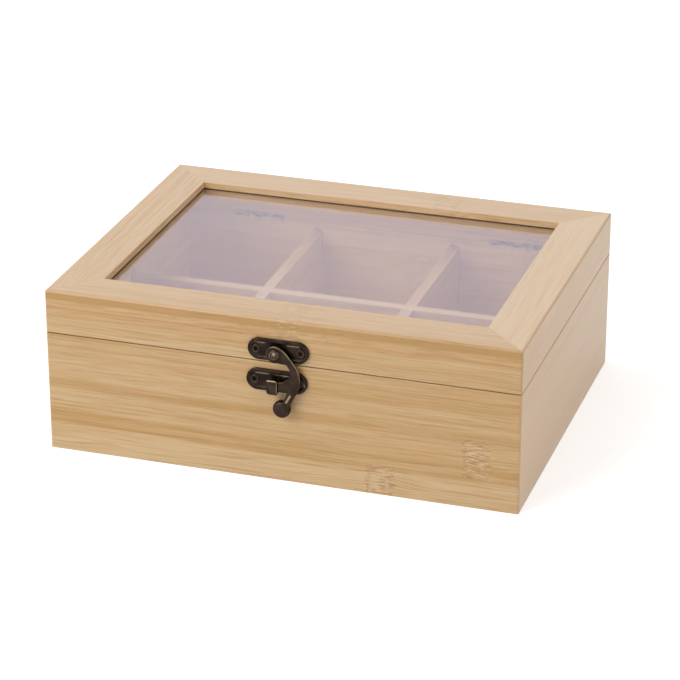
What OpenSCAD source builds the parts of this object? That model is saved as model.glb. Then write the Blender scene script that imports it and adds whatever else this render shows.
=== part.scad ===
// Tea bag box: a mitred bamboo case with six compartments, a glazed hinged lid and a swing-hook latch.
// X runs left to right, Y from the latch face to the hinge face, and Z up.
// The origin is the middle of the underside of the case.

/* [Case] */
// Outside width, left to right
case_w = 215; // [190:1:260]
// Outside depth, front to back
case_d = 166; // [140:1:200]
// Height of the base, up to the parting line
base_h = 55.8; // [45:0.1:75]
// Thickness of the upright boards
wall_t = 8; // [7:0.5:10]
// Radius of the upright corners
corner_r = 1.2; // [0.6:0.1:2]
// Radius that eases the long edges at the foot and at the parting line
arris_r = 0.4; // [0.2:0.1:0.6]

/* [Lid] */
// Height of the lid above the parting line
lid_h = 20.2; // [18:0.1:26]
// Gap between the two rims when the lid is shut
lid_gap = 0.3; // [0.2:0.05:0.5]
// Width of the frame rails
rail_w = 20.4; // [16:0.1:26]
// Thickness of the frame rails
rail_t = 9; // [8:0.1:10]
// Round-over of the lid's top outer edge
top_r = 1.2; // [0.6:0.1:2]

/* [Window] */
// Thickness of the clear pane
pane_t = 2; // [1.5:0.1:2.5]
// Depth of the pane's face below the top of the lid
pane_drop = 3.2; // [2.5:0.1:5]
// How far the pane's groove runs into the rails
pane_groove = 4; // [2:0.1:6]
// Play of the pane at each edge of its groove
pane_play = 0.3; // [0.1:0.05:0.5]

/* [Floor] */
// Thickness of the bottom panel
floor_t = 3; // [2:0.5:5]
// Height of the bottom panel above the table
floor_lift = 5; // [3:0.5:8]
// Depth of the bottom panel's groove in the boards
floor_groove = 4; // [2:0.5:5]
// Play of the bottom panel at each edge of its groove
floor_play = 0.3; // [0.1:0.05:0.5]

/* [Dividers] */
// Thickness of the dividers
divider_t = 5; // [3:0.5:8]
// Depth of the dividers' top edges below the parting line
divider_drop = 4.8; // [4.5:0.1:12]
// Distance of each cross divider from the middle of the case
cross_x = 34; // [28:0.5:38]
// Distance of the long divider behind the middle of the case
long_y = 0; // [-20:1:20]
// Depth of the stopped grooves that house the dividers
housing_t = 3; // [1.5:0.5:5]
// Play of a divider at its sides and ends
divider_play = 0.05; // [0.02:0.01:0.2]

/* [Hinges] */
// Distance of each hinge's middle from the end of the case
hinge_end = 43.5; // [30:0.5:55]
// Length of a hinge
hinge_l = 25; // [22:0.5:32]
// Outside diameter of the barrel, which is also the height of the folded hinge
barrel_d = 3.1; // [2.9:0.1:3.8]
// Thickness of a leaf
leaf_t = 0.6; // [0.5:0.05:0.7]
// Distance of a leaf's free edge from the inside of the case
leaf_inset = 0.8; // [0.2:0.1:2]
// Gap between the barrel and the back of the case
barrel_gap = 0.15; // [0.1:0.05:0.5]
// Diameter of the hinge pin
pin_d = 1.5; // [1.2:0.1:1.6]
// Gap between neighbouring knuckles
knuckle_gap = 0.15; // [0.1:0.05:0.3]
// Distance between a leaf's two screws
hinge_screw_pitch = 16; // [14:0.5:18]
// Angle to which the lid opens against the hinge stops
open_angle = 105; // [90:1:110]
// Reach of the stops from the hinge axis
stop_r = 3.4; // [3:0.1:4]
// Thickness of the stops
stop_t = 0.8; // [0.6:0.1:1]

/* [Latch plates] */
// Distance of the latch right of the middle of the case
latch_x = 0.5; // [-10:0.5:10]
// Length of each plate
plate_l = 27.5; // [27:0.5:32]
// Height of each plate
plate_h = 9.9; // [9:0.1:10.5]
// Thickness of the sheet metal
sheet_t = 0.9; // [0.7:0.1:1.1]
// Width of a plate's raised rim
rim_w = 1.4; // [1:0.1:1.6]
// Height of the raised rim above the sheet
rim_rise = 0.4; // [0.2:0.1:0.6]
// Height of the upper plate's middle above the parting line
plate_rise = 6.3; // [5.7:0.1:7.5]
// Depth of the catch plate's middle below the parting line
catch_drop = 8; // [6:0.1:10]
// Distance of the catch plate's middle left of the upper plate's
catch_left = 0.8; // [0:0.1:1.5]
// Distance between a plate's two screws
screw_pitch = 20; // [19:0.2:21]
// Width of the catch tongue
tongue_w = 4.9; // [4:0.1:6]
// Distance of the tongue's middle left of the catch plate's
tongue_left = 1.15; // [0:0.05:2]
// Height of the tongue's tip above the catch plate's middle
tongue_rise = 1.6; // [1:0.1:2.5]
// How far the tongue's fold hangs below the catch plate
fold_drop = 0.95; // [0.6:0.05:1.5]

/* [Latch arm] */
// Thickness of the flat arm
arm_t = 1.8; // [1.4:0.1:2.2]
// Width of the curved arm
arm_w = 4; // [3.4:0.1:4.4]
// Radius of the eye round the rivet
eye_r = 3.9; // [3.6:0.1:4.4]
// Running gap between the arm and what lies under or over it
arm_gap = 0.05; // [0.03:0.01:0.1]
// Distance of the rivet left of the latch's middle
rivet_left = 1; // [0:0.1:2]
// Depth of the rivet below the upper plate's middle
rivet_low = 1; // [0.5:0.1:1.4]
// Diameter of the rivet's shank
rivet_d = 2.4; // [2:0.1:2.8]
// Diameter of the rivet's domed head
rivet_head_d = 4.8; // [4.4:0.1:5.6]
// Height of the rivet's domed head
rivet_head_h = 1.3; // [0.8:0.1:1.8]
// Distance of the arm's centre of curve left of the rivet
curve_left = 3.5; // [2:0.1:5]
// Height of the arm's centre of curve above the spur
curve_rise = 4.05; // [3:0.05:5]
// Height of the spur that goes behind the tongue
spur_h = 4.7; // [4:0.1:5]
// How far the spur reaches behind the tongue
spur_reach = 3.3; // [2:0.1:4]
// Diameter of the neck where it meets the ball
neck_d = 3.1; // [2.6:0.1:3.4]
// Diameter of the ball
ball_d = 7.9; // [6:0.1:9]
// Thickness of the ball between its flats
ball_t = 4.6; // [4:0.1:5]
// Angle of the ball below the level of the arm's centre of curve
ball_angle = 64; // [58:1:70]
// How far the ball's middle stands out from the middle of the flat arm
ball_out = 0.7; // [0.5:0.1:1.2]

/* [Screws] */
// Diameter of the latch screws' heads
screw_head_d = 4.2; // [3.6:0.1:4.6]
// Height of the latch screws' heads
screw_head_h = 0.65; // [0.5:0.05:0.7]
// Diameter of the latch screws' shanks
screw_d = 2; // [1.6:0.1:2.2]
// Length of the latch screws below the head
screw_l = 6.5; // [5:0.5:7]
// Diameter of the hinge screws' heads
hinge_head_d = 4; // [3.4:0.1:4.4]
// Height of the hinge screws' heads
hinge_head_h = 0.5; // [0.4:0.05:0.6]
// Diameter of the hinge screws' shanks
hinge_screw_d = 1.8; // [1.5:0.1:2]
// Length of the hinge screws below the head
hinge_screw_l = 6.5; // [5:0.5:7]

/* [Hidden] */
$fn = 48;

bamboo = [0.87, 0.72, 0.50];
pale_bamboo = [0.90, 0.78, 0.62];
zinc = [0.70, 0.73, 0.77];
bronze = [0.20, 0.16, 0.12];
clear_acrylic = [0.80, 0.80, 0.88, 0.35];

// A cutter runs this far past the face it opens
past = 1;
// Radial play of a screw in its hole
screw_play = 0.05;
// Radial play of a pin or rivet where it is held, and where something turns on it
held_play = 0.03;
turning_play = 0.05;

inner_w = case_w - 2 * wall_t;
inner_d = case_d - 2 * wall_t;
lid_foot = base_h + lid_gap;
lid_top = base_h + lid_h;
rail_foot = lid_top - rail_t;
pane_foot = lid_top - pane_drop - pane_t;
floor_top = floor_lift + floor_t;
divider_top = base_h - divider_drop;
half_lap = (floor_top + divider_top) / 2;

// Each side is a turn about Z, the board's outside length and its face's distance from the middle
front = [0, case_w, case_d / 2];
right = [90, case_d, case_w / 2];
back = [180, case_w, case_d / 2];
left = [270, case_d, case_w / 2];

// Puts a board drawn along X, with its outer face on the X axis, on a side of the case
module on_side(side) {
    rotate(side[0])
        translate([0, -side[2], 0])
            children();
}

// Lays a profile drawn in Y and Z along X
module along_x(length) {
    rotate([90, 0, 90])
        linear_extrude(length, center = true)
            children();
}

// Cutter that rounds a long edge on the X axis, of a board that lies behind and below it
module edge_cutter(length, r) {
    along_x(length)
        difference() {
            translate([-past, -r])
                square([r + past, r + past]);
            translate([r, -r])
                circle(r);
        }
}

// Plan of a mitred board: both ends are cut back at 45 degrees, and the outer corners are rounded
module board_plan(length, width) {
    intersection() {
        polygon([
            [-length / 2 - past, -past],
            [length / 2 + past, -past],
            [length / 2 - width, width],
            [-length / 2 + width, width]
        ]);
        union() {
            translate([-length / 2, corner_r])
                square([length, width - corner_r]);
            translate([corner_r - length / 2, 0])
                square([length - 2 * corner_r, width]);
            for (end = [-1, 1])
                translate([end * (length / 2 - corner_r), corner_r])
                    circle(corner_r);
        }
    }
}

// A mitred board between two heights, with its outer edges rounded
module board(side, width, foot, top, foot_r, head_r) {
    on_side(side)
        difference() {
            translate([0, 0, foot])
                linear_extrude(top - foot)
                    board_plan(side[1], width);
            if (head_r > 0)
                translate([0, 0, top])
                    edge_cutter(side[1] + 2 * past, head_r);
            if (foot_r > 0)
                translate([0, 0, foot])
                    mirror([0, 0, 1])
                        edge_cutter(side[1] + 2 * past, foot_r);
        }
}

// Space of a stopped groove: straight sides and a round upper end, just clear of the divider
module housing_profile() {
    slot_w = divider_t + 2 * divider_play;
    translate([-slot_w / 2, floor_top])
        square([slot_w, divider_top + divider_play - floor_top]);
    translate([0, divider_top + divider_play])
        circle(d = slot_w);
}

module housings() {
    for (x = [-cross_x, cross_x])
        translate([x, 0, 0])
            rotate(90)
                along_x(inner_d + 2 * housing_t)
                    housing_profile();
    translate([0, long_y, 0])
        along_x(inner_w + 2 * housing_t)
            housing_profile();
}

// Space of the groove round the walls that takes the bottom panel
module floor_space() {
    translate([0, 0, floor_lift + floor_t / 2])
        cube([inner_w + 2 * floor_groove, inner_d + 2 * floor_groove, floor_t], center = true);
}

module base_board(side) {
    color(bamboo)
        difference() {
            board(side, wall_t, 0, base_h, arris_r, arris_r);
            floor_space();
            housings();
            hinge_mortises();
            base_hinge_holes();
            catch_screw_holes();
        }
}

module bottom_panel() {
    color(pale_bamboo)
        translate([0, 0, floor_lift + floor_t / 2])
            cube([
                inner_w + 2 * (floor_groove - floor_play),
                inner_d + 2 * (floor_groove - floor_play),
                floor_t
            ], center = true);
}

// A divider along X, from the bottom panel up
module divider(length) {
    translate([-length / 2, -divider_t / 2, floor_top])
        cube([length, divider_t, divider_top - floor_top]);
}

// The notch of a half-lap joint, between two heights
module lap_notch(foot, top) {
    notch = divider_t + 2 * divider_play;
    translate([-notch / 2, -notch / 2, foot])
        cube([notch, notch, top - foot]);
}

module long_divider() {
    color(bamboo)
        difference() {
            translate([0, long_y, 0])
                divider(inner_w + 2 * (housing_t - divider_play));
            for (x = [-cross_x, cross_x])
                translate([x, long_y, 0])
                    lap_notch(floor_top - past, half_lap);
        }
}

module cross_divider(hand) {
    color(bamboo)
        difference() {
            translate([hand * cross_x, 0, 0])
                rotate(90)
                    divider(inner_d + 2 * (housing_t - divider_play));
            translate([hand * cross_x, long_y, 0])
                lap_notch(half_lap, divider_top + past);
        }
}

// Lid boards and frame

module lid_board(side) {
    color(bamboo)
        difference() {
            board(side, wall_t, lid_foot, rail_foot, arris_r, 0);
            hinge_mortises();
            lid_hinge_holes();
            latch_screw_holes();
            rivet_recess();
        }
}

module frame_rail(side) {
    groove_w = case_w - 2 * (rail_w - pane_groove);
    groove_d = case_d - 2 * (rail_w - pane_groove);
    color(pale_bamboo)
        difference() {
            board(side, rail_w, rail_foot, lid_top, 0, top_r);
            on_side(side)
                translate([0, rail_w, lid_top])
                    mirror([0, 1, 0])
                        edge_cutter(side[1], arris_r);
            translate([0, 0, pane_foot + (pane_t + pane_play) / 2])
                cube([groove_w, groove_d, pane_t + pane_play], center = true);
            lid_hinge_holes();
        }
}

module window_pane() {
    reach = rail_w - pane_groove + pane_play;
    color(clear_acrylic)
        translate([0, 0, pane_foot + pane_t / 2])
            cube([case_w - 2 * reach, case_d - 2 * reach, pane_t], center = true);
}

// Screws, drawn with the head above the XY plane and the shank below it

module screw(head_d, head_h, shank_d, shank_l) {
    edge_h = head_h / 2;
    crown_h = head_h - edge_h;
    crown_r = (crown_h * crown_h + head_d * head_d / 4) / (2 * crown_h);
    slot_l = head_d * 0.6;
    slot_w = head_d * 0.14;
    point_l = shank_d;
    difference() {
        union() {
            cylinder(d = head_d, h = edge_h);
            intersection() {
                cylinder(d = head_d, h = head_h);
                translate([0, 0, head_h - crown_r])
                    sphere(crown_r);
            }
        }
        for (turn = [0, 90])
            rotate(turn)
                translate([-slot_l / 2, -slot_w / 2, edge_h])
                    cube([slot_l, slot_w, head_h]);
    }
    translate([0, 0, point_l - shank_l])
        cylinder(d = shank_d, h = shank_l - point_l);
    translate([0, 0, -shank_l])
        cylinder(d1 = shank_d / 4, d2 = shank_d, h = point_l);
}

// Hinges, drawn round the middle of the hinge axis

barrel_r = barrel_d / 2;
axis_y = case_d / 2 + barrel_gap + barrel_r;
// The folded hinge is let into both boards, half above and half below the parting line
axis_z = base_h + lid_gap / 2;
leaf_run = barrel_r + barrel_gap + wall_t - leaf_inset;
knuckle_l = hinge_l / 5;
base_knuckles = [-2, 0, 2];
lid_knuckles = [-1, 1];
// Clear space round a knuckle of the other leaf
knuckle_clear = 0.3;
// How far the stops run into the barrel's wall
stop_root = 0.4;
// Opening left between the stops at the end of the lid's travel
stop_slack = 1.5;
stop_corner = atan(stop_t / 2 / (barrel_r + knuckle_clear));
stop_angle = (open_angle + stop_slack) / 2 + stop_corner;
hinge_screw_y = barrel_r + barrel_gap + wall_t / 2;
// Play of the hinge in its mortises
mortise_play = 0.3;

module at_hinge(hand) {
    translate([hand * (case_w / 2 - hinge_end), axis_y, axis_z])
        children();
}

module round_bar(length, r) {
    rotate([0, 90, 0])
        cylinder(h = length, r = r, center = true);
}

// A stop: a rib that stands out from the hinge axis at an angle above the horizontal
module stop_rib(x, length, angle, inner_r) {
    translate([x, 0, 0])
        rotate([angle, 0, 0])
            translate([-length / 2, inner_r, -stop_t / 2])
                cube([length, stop_r - inner_r, stop_t]);
}

module hinge_leaf(own, others, leaf_foot, stop_side, bore_play) {
    own_l = knuckle_l - knuckle_gap;
    difference() {
        union() {
            difference() {
                translate([-hinge_l / 2, -leaf_run, leaf_foot])
                    cube([hinge_l, leaf_run, leaf_t]);
                for (i = others)
                    translate([i * knuckle_l, 0, 0])
                        round_bar(knuckle_l + knuckle_gap, barrel_r + knuckle_clear);
            }
            for (i = own) {
                translate([i * knuckle_l, 0, 0])
                    round_bar(own_l, barrel_r);
                stop_rib(i * knuckle_l, own_l, stop_side * stop_angle, barrel_r - stop_root);
            }
        }
        round_bar(hinge_l + 2 * past, pin_d / 2 + bore_play);
        for (end = [-1, 1])
            translate([end * hinge_screw_pitch / 2, -hinge_screw_y, leaf_foot - past])
                cylinder(d = hinge_screw_d + 2 * screw_play, h = leaf_t + 2 * past);
    }
}

module hinge_base_leaf(hand) {
    color(zinc)
        at_hinge(hand) {
            hinge_leaf(base_knuckles, lid_knuckles, -barrel_r, -1, held_play);
            stop_rib(0, hinge_l - knuckle_gap, -stop_angle, barrel_r + knuckle_clear);
        }
}

module hinge_lid_leaf(hand) {
    color(zinc)
        at_hinge(hand)
            hinge_leaf(lid_knuckles, base_knuckles, barrel_r - leaf_t, 1, turning_play);
}

module hinge_pin(hand) {
    cap_h = 0.4;
    cap_d = (pin_d + barrel_d) / 2;
    span = hinge_l - knuckle_gap;
    color(zinc)
        at_hinge(hand) {
            round_bar(span, pin_d / 2);
            for (end = [-1, 1])
                translate([end * (span + cap_h) / 2, 0, 0])
                    round_bar(cap_h, cap_d / 2);
        }
}

// Puts a screw, or its hole, at each screw of both hinges
module at_hinge_screws(height) {
    for (hand = [-1, 1], end = [-1, 1])
        at_hinge(hand)
            translate([end * hinge_screw_pitch / 2, -hinge_screw_y, height])
                children();
}

module hinge_screw_hole() {
    cylinder(d = hinge_screw_d + 2 * screw_play, h = hinge_screw_l + screw_play);
}

module base_hinge_holes() {
    at_hinge_screws(leaf_t - barrel_r)
        mirror([0, 0, 1])
            hinge_screw_hole();
}

module lid_hinge_holes() {
    at_hinge_screws(barrel_r - leaf_t)
        hinge_screw_hole();
}

module hinge_base_screws() {
    color(zinc)
        at_hinge_screws(leaf_t - barrel_r)
            screw(hinge_head_d, hinge_head_h, hinge_screw_d, hinge_screw_l);
}

module hinge_lid_screws() {
    color(zinc)
        at_hinge_screws(barrel_r - leaf_t)
            mirror([0, 0, 1])
                screw(hinge_head_d, hinge_head_h, hinge_screw_d, hinge_screw_l);
}

module hinge_mortises() {
    for (hand = [-1, 1])
        at_hinge(hand)
            translate([0, -barrel_r - barrel_gap - wall_t / 2, 0])
                cube([hinge_l + 2 * mortise_play, wall_t + 2 * past, barrel_d], center = true);
}

// Latch, drawn on the front face with X to the right, Y up and Z out of the face

plate_z = base_h + plate_rise;
catch_x = latch_x - catch_left;
catch_z = base_h - catch_drop;
rivet_x = latch_x - rivet_left;
rivet_z = plate_z - rivet_low;
// The arm passes this far above the screw heads, which stand highest on the plates
head_clear = 0.25;
arm_foot = sheet_t + screw_head_h + head_clear;
arm_face = arm_foot + arm_t;
tongue_x = catch_x - tongue_left;
// The tongue is folded up from the catch plate's lower edge, clear of the spur behind it
tongue_gap = 0.3;
fold_r = (arm_face + tongue_gap - sheet_t) / 2;
fold_centre = sheet_t + fold_r;
fold_z = catch_z - plate_h / 2 - fold_drop + fold_r + sheet_t;
tongue_top = catch_z + tongue_rise;
// The spur dips this far below the middle of the fold
spur_dip = 0.5;
spur_z = fold_z - spur_dip + spur_h / 2;
curve_x = rivet_x - curve_left;
curve_z = spur_z + curve_rise;
curve_r = norm([rivet_x - curve_x, rivet_z - curve_z]);
curve_start = atan2(rivet_z - curve_z, rivet_x - curve_x);
curve_end = -26;
tail_d = 3.4;
tail_h = 0.5;
// Space round the rivet's tail in its recess
tail_clear = 0.5;
// The boss under the eye is this much smaller than the eye
boss_inset = 0.2;

module on_front() {
    translate([0, -case_d / 2, 0])
        rotate([90, 0, 0])
            children();
}

// A round-ended plate outline, from a square and two circles
module stadium(length, width) {
    square([length - width, width], center = true);
    for (end = [-1, 1])
        translate([end * (length - width) / 2, 0])
            circle(d = width);
}

module plate_blank() {
    linear_extrude(sheet_t)
        stadium(plate_l, plate_h);
    linear_extrude(sheet_t + rim_rise)
        difference() {
            stadium(plate_l, plate_h);
            stadium(plate_l - 2 * rim_w, plate_h - 2 * rim_w);
        }
}

// Puts a screw, or its hole, at each screw of a plate
module at_plate_screws(middle, height, out) {
    on_front()
        for (end = [-1, 1])
            translate([middle + end * screw_pitch / 2, height, out])
                children();
}

module plate_screw_hole() {
    translate([0, 0, -screw_l - screw_play])
        cylinder(d = screw_d + 2 * screw_play, h = screw_l + 2 * past);
}

module catch_screw_holes() {
    at_plate_screws(catch_x, catch_z, sheet_t)
        plate_screw_hole();
}

module latch_screw_holes() {
    at_plate_screws(latch_x, plate_z, sheet_t)
        plate_screw_hole();
}

module catch_screws() {
    color(bronze)
        at_plate_screws(catch_x, catch_z, sheet_t)
            screw(screw_head_d, screw_head_h, screw_d, screw_l);
}

module latch_screws() {
    color(bronze)
        at_plate_screws(latch_x, plate_z, sheet_t)
            screw(screw_head_d, screw_head_h, screw_d, screw_l);
}

// The tongue's section, with X out of the face and Y up: a half-round fold and a straight leg
module tongue_section() {
    difference() {
        translate([fold_centre, fold_z])
            circle(fold_r + sheet_t);
        translate([fold_centre, fold_z])
            circle(fold_r);
        translate([-past, fold_z])
            square([2 * (fold_centre + past), fold_r + 2 * past]);
    }
    translate([fold_centre + fold_r, fold_z])
        square([sheet_t, tongue_top - fold_z]);
    translate([0, fold_z])
        square([sheet_t, catch_z - fold_z]);
}

module catch_plate() {
    color(bronze)
        difference() {
            union() {
                on_front()
                    translate([catch_x, catch_z, 0])
                        plate_blank();
                translate([tongue_x, -case_d / 2, 0])
                    mirror([0, 1, 0])
                        along_x(tongue_w)
                            tongue_section();
            }
            catch_screw_holes();
        }
}

module latch_plate() {
    color(bronze)
        difference() {
            on_front() {
                translate([latch_x, plate_z, 0])
                    plate_blank();
                translate([rivet_x, rivet_z, 0])
                    cylinder(r = eye_r - boss_inset, h = arm_foot - arm_gap);
            }
            on_front()
                translate([rivet_x, rivet_z, -past])
                    cylinder(d = rivet_d + 2 * held_play, h = arm_foot + 2 * past);
            latch_screw_holes();
        }
}

// Blind recess in the lid's front board for the rivet's tail
module rivet_recess() {
    on_front()
        translate([rivet_x, rivet_z, -tail_h - 2 * turning_play])
            cylinder(r = tail_d / 2 + tail_clear, h = tail_h + past);
}

module latch_rivet() {
    head_foot = arm_face + arm_gap;
    dome_r = (rivet_head_h * rivet_head_h + rivet_head_d * rivet_head_d / 4) / (2 * rivet_head_h);
    color(bronze)
        on_front()
            translate([rivet_x, rivet_z, 0]) {
                translate([0, 0, -tail_h])
                    cylinder(d = tail_d, h = tail_h);
                translate([0, 0, -tail_h])
                    cylinder(d = rivet_d, h = tail_h + head_foot + rivet_head_h / 2);
                intersection() {
                    translate([0, 0, head_foot])
                        cylinder(d = rivet_head_d, h = rivet_head_h);
                    translate([0, 0, head_foot + rivet_head_h - dome_r])
                        sphere(dome_r);
                }
            }
}

// Flat outline of the arm: eye, curved band, spur and the root of the neck
module arm_outline() {
    outer = curve_r + arm_w;
    middle = curve_r + arm_w / 2;
    reach = 2 * outer;
    sweep = [for (k = [0 : 3]) curve_start + (curve_end - curve_start) * k / 3];
    spur_tip = tongue_x + tongue_w / 2 - spur_reach;
    difference() {
        union() {
            translate([rivet_x, rivet_z])
                circle(eye_r);
            intersection() {
                translate([curve_x, curve_z])
                    difference() {
                        circle(outer, $fn = 96);
                        circle(curve_r, $fn = 96);
                    }
                translate([curve_x, curve_z])
                    polygon(concat([[0, 0]], [for (a = sweep) reach * [cos(a), sin(a)]]));
            }
            translate([curve_x, curve_z])
                translate(middle * [cos(curve_end), sin(curve_end)])
                    circle(d = arm_w);
            translate([spur_tip, spur_z - spur_h / 2])
                square([curve_x + curve_r + arm_w / 4 - spur_tip, spur_h]);
        }
        translate([rivet_x, rivet_z])
            circle(d = rivet_d + 2 * turning_play);
    }
}

// Neck and ball: a bar that grows from the flat arm, and a ball with two flats
module arm_end() {
    middle = curve_r + arm_w / 2;
    root = [curve_x + middle * cos(curve_end), curve_z + middle * sin(curve_end)];
    ball = [
        curve_x + (curve_r + arm_w) * cos(ball_angle),
        curve_z - (curve_r + arm_w) * sin(ball_angle)
    ];
    run = ball - root;
    translate([0, 0, arm_foot + arm_t / 2]) {
        translate([root[0], root[1], 0])
            rotate(atan2(run[1], run[0]))
                rotate([0, 90 - atan2(ball_out, norm(run)), 0])
                    cylinder(d1 = arm_t, d2 = neck_d, h = norm([norm(run), ball_out]));
        translate([ball[0], ball[1], ball_out])
            intersection() {
                sphere(d = ball_d);
                cube([ball_d + past, ball_d + past, ball_t], center = true);
            }
    }
    // The flat arm narrows beside the bar over half of its length
    across = [-run[1], run[0]] / norm(run);
    translate([0, 0, arm_foot])
        linear_extrude(arm_t)
            polygon([
                root + across * arm_w / 2,
                root - across * arm_w / 2,
                root + run / 2 - across * neck_d / 2,
                root + run / 2 + across * neck_d / 2
            ]);
}

module latch_arm() {
    color(bronze)
        on_front() {
            translate([0, 0, arm_foot])
                linear_extrude(arm_t)
                    arm_outline();
            arm_end();
        }
}

base_board(front);  // front_wall
base_board(back);  // back_wall
base_board(left);  // left_wall
base_board(right);  // right_wall
bottom_panel();
long_divider();
cross_divider(-1);  // cross_divider_left
cross_divider(1);  // cross_divider_right
hinge_base_leaf(-1);  // hinge_base_leaf_left
hinge_base_leaf(1);  // hinge_base_leaf_right
hinge_pin(-1);  // hinge_pin_left
hinge_pin(1);  // hinge_pin_right
hinge_base_screws();
catch_plate();
catch_screws();
lid_board(front);  // lid_front_wall
lid_board(back);  // lid_back_wall
lid_board(left);  // lid_left_wall
lid_board(right);  // lid_right_wall
frame_rail(front);  // frame_front_rail
frame_rail(back);  // frame_back_rail
frame_rail(left);  // frame_left_rail
frame_rail(right);  // frame_right_rail
window_pane();
hinge_lid_leaf(-1);  // hinge_lid_leaf_left
hinge_lid_leaf(1);  // hinge_lid_leaf_right
hinge_lid_screws();
latch_plate();
latch_screws();
latch_rivet();
latch_arm();
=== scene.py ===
import math

import bmesh
import bpy
import numpy as np
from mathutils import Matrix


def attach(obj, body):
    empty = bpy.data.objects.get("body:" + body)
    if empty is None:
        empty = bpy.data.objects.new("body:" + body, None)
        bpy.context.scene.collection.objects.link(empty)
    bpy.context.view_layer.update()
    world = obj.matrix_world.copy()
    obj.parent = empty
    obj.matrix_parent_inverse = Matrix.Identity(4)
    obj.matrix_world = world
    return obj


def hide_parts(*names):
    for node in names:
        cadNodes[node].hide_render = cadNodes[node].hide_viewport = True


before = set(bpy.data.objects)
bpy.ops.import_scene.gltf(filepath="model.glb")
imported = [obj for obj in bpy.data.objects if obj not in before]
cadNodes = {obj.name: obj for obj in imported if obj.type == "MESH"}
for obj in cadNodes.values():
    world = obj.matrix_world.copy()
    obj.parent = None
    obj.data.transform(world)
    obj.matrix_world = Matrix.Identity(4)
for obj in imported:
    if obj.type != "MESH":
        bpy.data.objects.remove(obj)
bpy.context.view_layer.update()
mm = 0.001
print("frame loaded,", len(cadNodes), "nodes")


# node tree helpers

def put(tree, kind, inputs=None, **props):
    node = tree.nodes.new(kind)
    for name, value in props.items():
        setattr(node, name, value)
    for name, value in (inputs or {}).items():
        if isinstance(value, bpy.types.NodeSocket):
            tree.links.new(value, node.inputs[name])
        else:
            node.inputs[name].default_value = value
    return node


def calc(tree, operation, a, b=0.0, c=0.0, clamp=False):
    node = put(tree, "ShaderNodeMath", {0: a, 1: b, 2: c}, operation=operation)
    node.use_clamp = clamp
    return node.outputs[0]


def ease(tree, value, low, high, lowOut=0.0, highOut=1.0):
    # smooth step of value from low to high
    node = put(tree, "ShaderNodeMapRange", {0: value, 1: low, 2: high, 3: lowOut, 4: highOut})
    node.interpolation_type = "SMOOTHSTEP"
    return node.outputs[0]


def blend(tree, share, a, b, kind="MIX"):
    node = put(tree, "ShaderNodeMix", data_type="RGBA", blend_type=kind)
    node.clamp_factor = True
    for name, value in ((0, share), (6, a), (7, b)):
        if isinstance(value, bpy.types.NodeSocket):
            tree.links.new(value, node.inputs[name])
        else:
            node.inputs[name].default_value = value
    return node.outputs[2]


def ramp(tree, value, stops, interpolation="LINEAR"):
    node = put(tree, "ShaderNodeValToRGB", {0: value})
    node.color_ramp.interpolation = interpolation
    while len(node.color_ramp.elements) < len(stops):
        node.color_ramp.elements.new(0.5)
    for element, (place, color) in zip(node.color_ramp.elements, stops):
        element.position = place
        element.color = (*color, 1)
    return node.outputs[0]


def newGroup(name, inputs, outputs):
    tree = bpy.data.node_groups.new(name, "ShaderNodeTree")
    for label, kind, value in inputs:
        socket = tree.interface.new_socket(label, in_out="INPUT", socket_type="NodeSocket" + kind)
        socket.default_value = value
    for label, kind in outputs:
        tree.interface.new_socket(label, in_out="OUTPUT", socket_type="NodeSocket" + kind)
    return tree, tree.nodes.new("NodeGroupInput").outputs, tree.nodes.new("NodeGroupOutput").inputs


def addGroup(tree, group, inputs):
    node = tree.nodes.new("ShaderNodeGroup")
    node.node_tree = group
    for name, value in inputs.items():
        if isinstance(value, bpy.types.NodeSocket):
            tree.links.new(value, node.inputs[name])
        else:
            node.inputs[name].default_value = value
    return node.outputs


def newMaterial(name, **fixed):
    mat = bpy.data.materials.new(name)
    mat.use_nodes = True
    shader = mat.node_tree.nodes["Principled BSDF"]
    for label, value in fixed.items():
        shader.inputs[label.replace("_", " ")].default_value = value
    return mat, mat.node_tree, shader


def stretched(tree, point, size, seed, detail=2.0, rough=0.5):
    # noise whose grains measure size along each axis
    scale = put(tree, "ShaderNodeVectorMath", {0: point, 1: tuple(1 / s for s in size)}, operation="MULTIPLY")
    return put(
        tree, "ShaderNodeTexNoise",
        {"Vector": scale.outputs[0], "W": seed, "Scale": 1.0, "Detail": detail, "Roughness": rough},
        noise_dimensions="4D",
    ).outputs[0]


# bamboo: flat strips side by side, fibres along X of the vector, culm rings across each strip

bamboo = {
    "pale": (0.635, 0.452, 0.238),
    "body": (0.580, 0.372, 0.167),
    "gold": (0.496, 0.279, 0.081),
    "deep": (0.447, 0.258, 0.067),
    "blush": (0.593, 0.337, 0.144),
    "amber": (0.412, 0.210, 0.054),
    "brown": (0.300, 0.142, 0.037),
    "mark": (0.330, 0.168, 0.047),
    "cream": (0.688, 0.504, 0.306),
    "ringSpacing": 430.0,
    "ringHalf": 8.0,
    "sway": 2.0,
    "ringSway": 7.0,
    "glueWidth": 1.0,
    "bands": 1.3,
    "streaks": 1.15,
    "fibres": 1.05,
    "luck": 0.25,
    "warmth": 0.45,
    "lines": 0.48,
    "bundles": 0.50,
    "roughness": 0.45,
    "coat": 0.6,
    "coatRoughness": 0.30,
    "bump": 0.12,
}


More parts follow.
